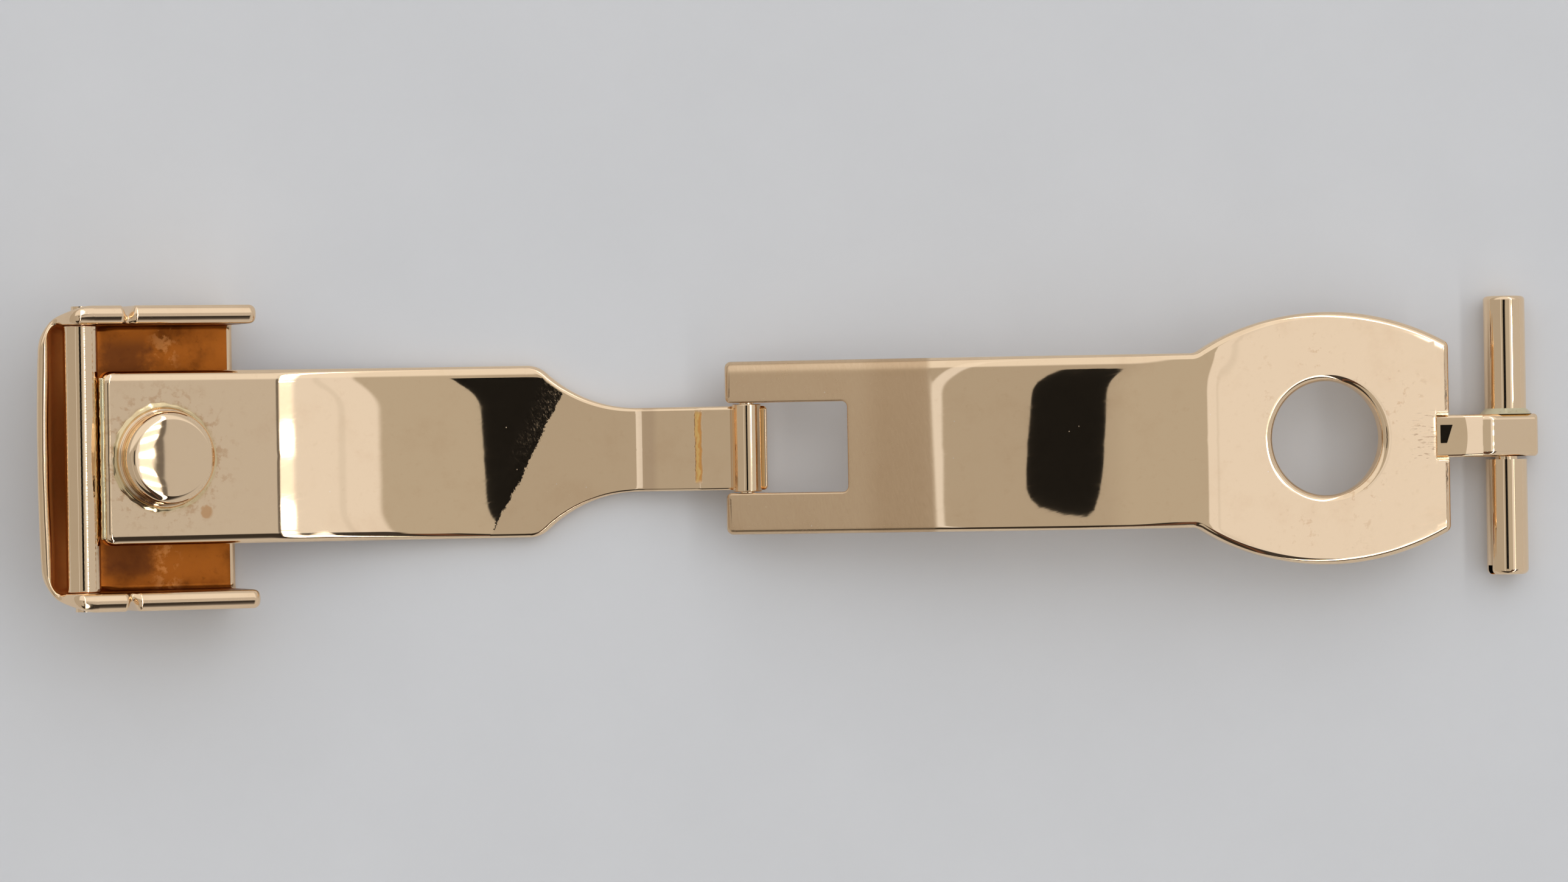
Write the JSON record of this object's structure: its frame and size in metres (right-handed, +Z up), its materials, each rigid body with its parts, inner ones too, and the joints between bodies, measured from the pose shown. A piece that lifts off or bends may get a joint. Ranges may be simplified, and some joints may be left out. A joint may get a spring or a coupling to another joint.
{
  "type": "deployant clasp",
  "caption": "Folding strap clasp in rose gold: tray-shaped strap cover, curved front blade with catch stud, forked rear blade with an oval holed plate, and a screwed strap bar on a lug.",
  "frame": {"origin": "on the table under the middle of the unfolded clasp", "axes": "+X along the clasp from the strap cover to the strap bar, +Y across it, +Z up from the table"},
  "size_m": [0.079, 0.016, 0.0084],
  "materials": {
    "front_blade_gold": "mirror polished rose gold with fine scratches",
    "rear_blade_gold": "rose gold, fork end brushed across its bend, the rest mirror polished",
    "cover_gold": "rose gold, polished outside and dull orange inside the channel",
    "stud_gold": "mirror polished rose gold",
    "turned_gold": "turned and polished rose gold",
    "pale_solder": "pale green-gold hard solder, matt"
  },
  "bodies": {
    "front_blade": {"front_blade": "front_blade_gold", "hinge_tube": "turned_gold", "catch_stud": "stud_gold", "stud_solder": "pale_solder", "cross_tube": "turned_gold", "tube_solder": "pale_solder"},
    "cover": {"cover_shell": "cover_gold", "cover_pin": "turned_gold"},
    "rear_blade": {"rear_blade": "rear_blade_gold", "hinge_pin": "turned_gold", "bar_lug": "stud_gold", "lug_solder": "pale_solder", "strap_bar_fixed": "turned_gold", "bar_solder": "pale_solder", "strap_bar_screw": "turned_gold"}
  },
  "joints": [
    {"name": "main_fold", "type": "hinge", "parent": "front_blade", "child": "rear_blade", "pos_m": [-0.00255, 0, 0.00249], "axis": [0, -1, 0], "range_deg": [-12, 169.1]},
    {"name": "cover_swing", "type": "hinge", "parent": "front_blade", "child": "cover", "pos_m": [-0.03727, 0, 0.00694], "axis": [0, 1, 0], "range_deg": [0, 28]}
  ]
}
